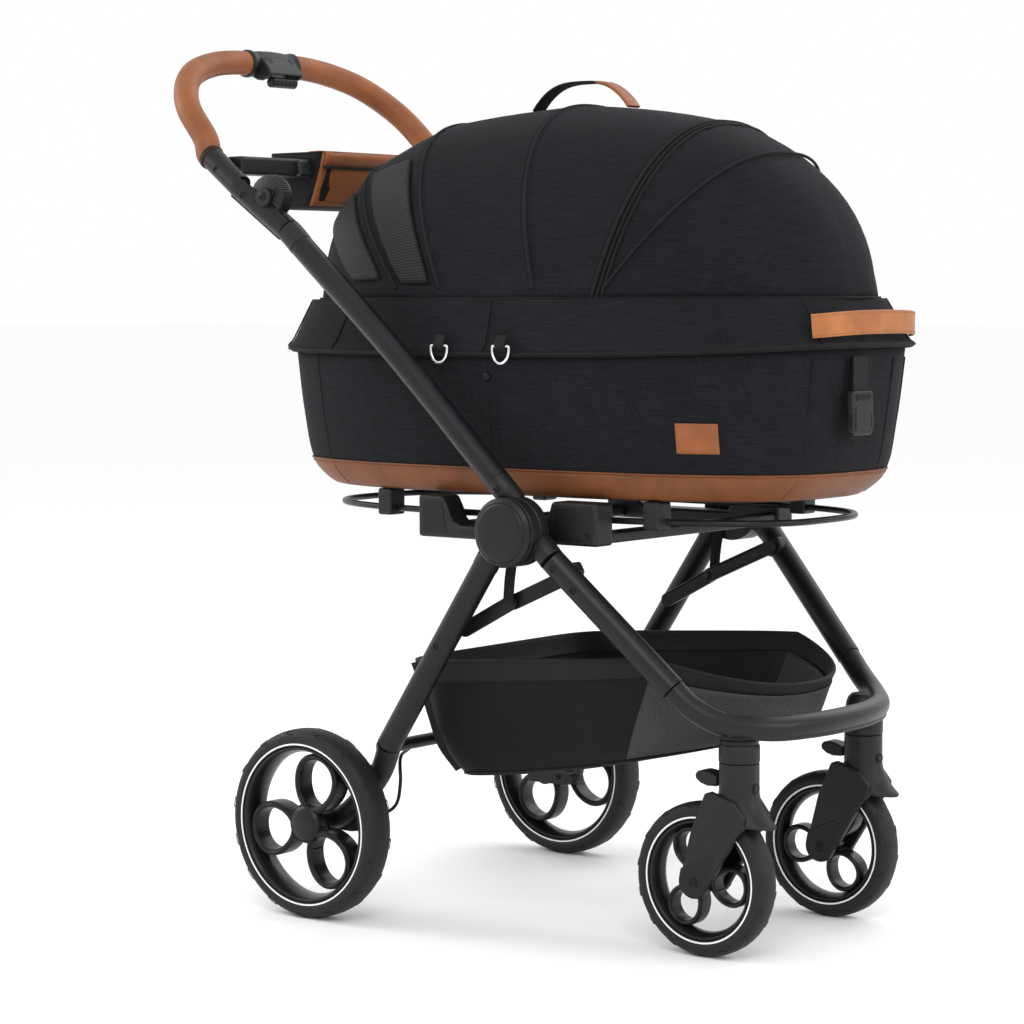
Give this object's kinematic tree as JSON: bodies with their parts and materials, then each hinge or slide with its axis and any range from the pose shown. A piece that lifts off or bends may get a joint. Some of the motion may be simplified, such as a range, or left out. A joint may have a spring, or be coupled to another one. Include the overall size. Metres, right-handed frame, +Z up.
{
  "type": "pet stroller",
  "caption": "Folding pet stroller: domed fabric carrier on a tube frame with a turning push handle, storage basket, fixed rear wheels and swivelling front wheels.",
  "frame": {"origin": "on the floor, under the middle of the stroller's box", "axes": "+X forward towards the front casters, +Y to the stroller's left, +Z up"},
  "size_m": [0.9866, 0.563, 1.098],
  "materials": {
    "coated_tube": "matte powder coat",
    "moulded_plastic": "fine grained",
    "dark_plastic": "satin",
    "tyre_rubber": "matte",
    "rim_plastic": "satin",
    "dark_steel": "dark zinc",
    "bright_wire": "polished",
    "leather": "saddle brown, stitched",
    "charcoal_fabric": "slub weave",
    "mesh_fabric": "open mesh and ripstop",
    "black_fabric": "plush"
  },
  "bodies": {
    "frame": {"upper_tube_left": "coated_tube", "upper_tube_right": "coated_tube", "hub_housing_left": "moulded_plastic", "hub_housing_right": "moulded_plastic", "hub_cover_left": "dark_plastic", "hub_cover_right": "dark_plastic", "front_leg_left": "coated_tube", "front_leg_right": "coated_tube", "caster_socket_left": "dark_plastic", "caster_socket_right": "dark_plastic", "handle_hinge_left": "moulded_plastic", "handle_hinge_right": "moulded_plastic", "front_bar": "coated_tube", "seat_frame": "moulded_plastic", "basket": "mesh_fabric"},
    "rear_legs": {"rear_leg_left": "coated_tube", "rear_leg_right": "coated_tube", "rear_casting_left": "moulded_plastic", "rear_casting_right": "moulded_plastic", "rear_cross_tube": "coated_tube", "brake_cable": "dark_plastic"},
    "brake_pedal": {"brake_pedal": "dark_plastic"},
    "rear_wheel_left": {"rear_tyre_left": "tyre_rubber", "rear_rim_left": "rim_plastic"},
    "rear_wheel_right": {"rear_tyre_right": "tyre_rubber", "rear_rim_right": "rim_plastic"},
    "caster_left": {"front_fork_left": "moulded_plastic"},
    "caster_right": {"front_fork_right": "moulded_plastic"},
    "swivel_lock_left": {"swivel_lock_left": "moulded_plastic"},
    "swivel_lock_right": {"swivel_lock_right": "moulded_plastic"},
    "wheel_release_left": {"wheel_release_left": "dark_plastic"},
    "wheel_release_right": {"wheel_release_right": "dark_plastic"},
    "front_wheel_left": {"front_tyre_left": "tyre_rubber", "front_rim_left": "rim_plastic"},
    "front_wheel_right": {"front_tyre_right": "tyre_rubber", "front_rim_right": "rim_plastic"},
    "brace_bars": {"brace_bar_left": "dark_steel", "brace_bar_right": "dark_steel", "pull_strap_left": "dark_plastic", "pull_strap_right": "dark_plastic"},
    "brace_links": {"brace_link_left": "dark_steel", "brace_link_right": "dark_steel"},
    "handle": {"handle_tube": "coated_tube", "handle_grip_left": "leather", "handle_grip_right": "leather", "lever_housing": "moulded_plastic", "organiser_frame": "moulded_plastic", "organiser_pouch": "leather"},
    "fold_lever": {"fold_lever": "dark_plastic"},
    "carrier": {"carrier_tub": "charcoal_fabric", "mattress": "black_fabric", "canopy": "charcoal_fabric", "hood": "charcoal_fabric", "support_ring": "dark_steel", "carry_strap": "leather", "nose_handle": "leather", "buckle": "moulded_plastic"},
    "hood_bow": {"hood_bow": "dark_steel"},
    "d_ring_front": {"d_ring_front": "bright_wire"},
    "d_ring_rear": {"d_ring_rear": "bright_wire"}
  },
  "joints": [
    {"name": "frame_fold", "type": "hinge", "parent": "frame", "child": "rear_legs", "pos_m": [0.12975, 0, 0.492], "axis": [0, -1, 0], "range_deg": [0, 60], "deforming": ["basket"]},
    {"name": "brace_bar_fold", "type": "hinge", "parent": "frame", "child": "brace_bars", "pos_m": [0.19975, 0, 0.446], "axis": [0, -1, 0], "range_deg": [0, 14.1]},
    {"name": "brace_link_fold", "type": "hinge", "parent": "rear_legs", "child": "brace_links", "pos_m": [0.03675, 0, 0.368], "axis": [0, -1, 0], "range_deg": [0, 66.59]},
    {"name": "handle_angle", "type": "hinge", "parent": "frame", "child": "handle", "pos_m": [-0.25525, 0, 0.891], "axis": [0, 1, 0], "range_deg": [-30, 0]},
    {"name": "fold_lever_press", "type": "hinge", "parent": "handle", "child": "fold_lever", "pos_m": [-0.45725, 0, 1.057], "axis": [0, 1, 0], "range_deg": [0, 12], "stiffness_Nm_per_rad": 1.5, "springref_deg": -11.46},
    {"name": "brake_pedal_press", "type": "hinge", "parent": "rear_legs", "child": "brake_pedal", "pos_m": [-0.20025, 0, 0.1395], "axis": [0, -1, 0], "range_deg": [0, 18]},
    {"name": "rear_wheel_left_spin", "type": "hinge", "parent": "rear_legs", "child": "rear_wheel_left", "pos_m": [-0.17025, 0.2605, 0.1175], "axis": [0, 1, 0], "continuous": true},
    {"name": "rear_wheel_right_spin", "type": "hinge", "parent": "rear_legs", "child": "rear_wheel_right", "pos_m": [-0.17025, -0.2605, 0.1175], "axis": [0, 1, 0], "continuous": true},
    {"name": "caster_left_swivel", "type": "hinge", "parent": "frame", "child": "caster_left", "pos_m": [0.38205, 0.137, 0.2], "axis": [0, 0, 1], "continuous": true},
    {"name": "front_wheel_left_spin", "type": "hinge", "parent": "caster_left", "child": "front_wheel_left", "pos_m": [0.33655, 0.137, 0.0908], "axis": [0, 1, 0], "continuous": true},
    {"name": "swivel_lock_left_flip", "type": "hinge", "parent": "caster_left", "child": "swivel_lock_left", "pos_m": [0.35705, 0.137, 0.213], "axis": [0, 1, 0], "range_deg": [0, 20]},
    {"name": "wheel_release_left_push", "type": "slide", "parent": "caster_left", "child": "wheel_release_left", "axis": [-1, 0, 0], "range_m": [0, 0.002], "stiffness_N_per_m": 400, "springref_m": -0.002},
    {"name": "caster_right_swivel", "type": "hinge", "parent": "frame", "child": "caster_right", "pos_m": [0.38205, -0.137, 0.2], "axis": [0, 0, 1], "continuous": true},
    {"name": "front_wheel_right_spin", "type": "hinge", "parent": "caster_right", "child": "front_wheel_right", "pos_m": [0.33655, -0.137, 0.0908], "axis": [0, 1, 0], "continuous": true},
    {"name": "swivel_lock_right_flip", "type": "hinge", "parent": "caster_right", "child": "swivel_lock_right", "pos_m": [0.35705, -0.137, 0.213], "axis": [0, 1, 0], "range_deg": [0, 20]},
    {"name": "wheel_release_right_push", "type": "slide", "parent": "caster_right", "child": "wheel_release_right", "axis": [-1, 0, 0], "range_m": [0, 0.002], "stiffness_N_per_m": 400, "springref_m": -0.002},
    {"name": "carrier_lift", "type": "slide", "parent": "frame", "child": "carrier", "axis": [0, 0, 1], "range_m": [0, 0.04]},
    {"name": "hood_open", "type": "hinge", "parent": "carrier", "child": "hood_bow", "pos_m": [0.21475, 0, 0.77], "axis": [0, -1, 0], "range_deg": [0, 20], "deforming": ["hood"]},
    {"name": "d_ring_front_swing", "type": "hinge", "parent": "carrier", "child": "d_ring_front", "pos_m": [0.09575, -0.2162, 0.708], "axis": [1, 0, 0], "range_deg": [-75, 10]},
    {"name": "d_ring_rear_swing", "type": "hinge", "parent": "carrier", "child": "d_ring_rear", "pos_m": [0.00175, -0.2162, 0.708], "axis": [1, 0, 0], "range_deg": [-75, 10]}
  ],
  "couplings": [
    {"joint": "brace_bar_fold", "follows": "frame_fold", "ratio": 0.23167},
    {"joint": "brace_link_fold", "follows": "frame_fold", "ratio": 1.1065}
  ]
}
